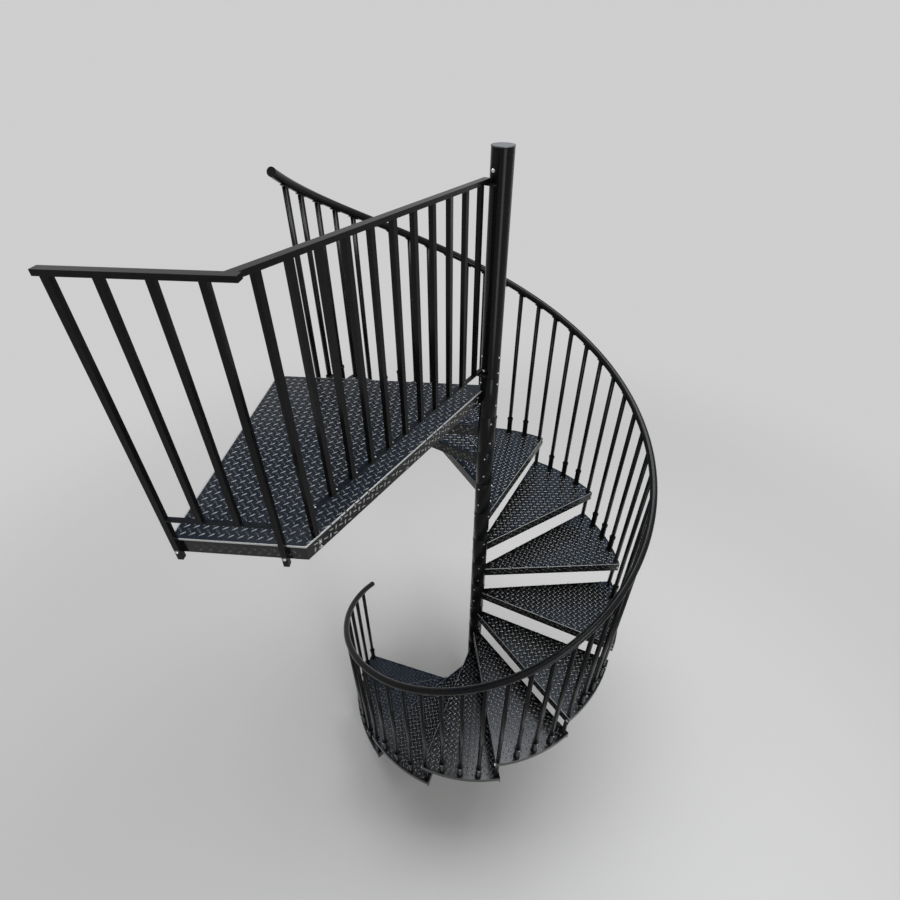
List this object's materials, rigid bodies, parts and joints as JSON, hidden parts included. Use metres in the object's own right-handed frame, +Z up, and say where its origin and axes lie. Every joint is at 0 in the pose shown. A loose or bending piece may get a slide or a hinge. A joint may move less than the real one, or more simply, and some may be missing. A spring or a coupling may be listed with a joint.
{
  "type": "steel spiral staircase",
  "caption": "Outdoor steel spiral stair: checker-plate treads on a centre pole, a polygonal landing that bolts to a deck, a helical tube handrail on round balusters and straight landing guards.",
  "frame": {"origin": "centre of the pole at the underside of the base plate, on the floor", "axes": "+Z up along the pole; the landing's stair edge runs along -X to the deck side; the stair climbs counter-clockwise seen from above"},
  "size_m": [1.974, 1.992, 4.166],
  "materials": {
    "painted_tread": "satin black powder coat on raised checker plate",
    "painted_steel": "satin black powder coat",
    "cap": "satin dark cap disc"
  },
  "bodies": {
    "root": {"base_plate": "painted_steel", "base_collar": "painted_steel", "centre_pole": "painted_steel", "tread_1": "painted_tread", "tread_2": "painted_tread", "tread_3": "painted_tread", "tread_4": "painted_tread", "tread_5": "painted_tread", "tread_6": "painted_tread", "tread_7": "painted_tread", "tread_8": "painted_tread", "tread_9": "painted_tread", "tread_10": "painted_tread", "tread_11": "painted_tread", "tread_12": "painted_tread", "tread_13": "painted_tread", "landing": "painted_tread", "newel": "painted_steel", "newel_cap": "cap", "handrail": "painted_steel", "balusters_1": "painted_steel", "balusters_2": "painted_steel", "balusters_3": "painted_steel", "balusters_4": "painted_steel", "balusters_5": "painted_steel", "balusters_6": "painted_steel", "balusters_7": "painted_steel", "balusters_8": "painted_steel", "balusters_9": "painted_steel", "balusters_10": "painted_steel", "balusters_11": "painted_steel", "balusters_12": "painted_steel", "balusters_13": "painted_steel", "front_guard": "painted_steel", "side_guard": "painted_steel"}
  },
  "joints": []
}
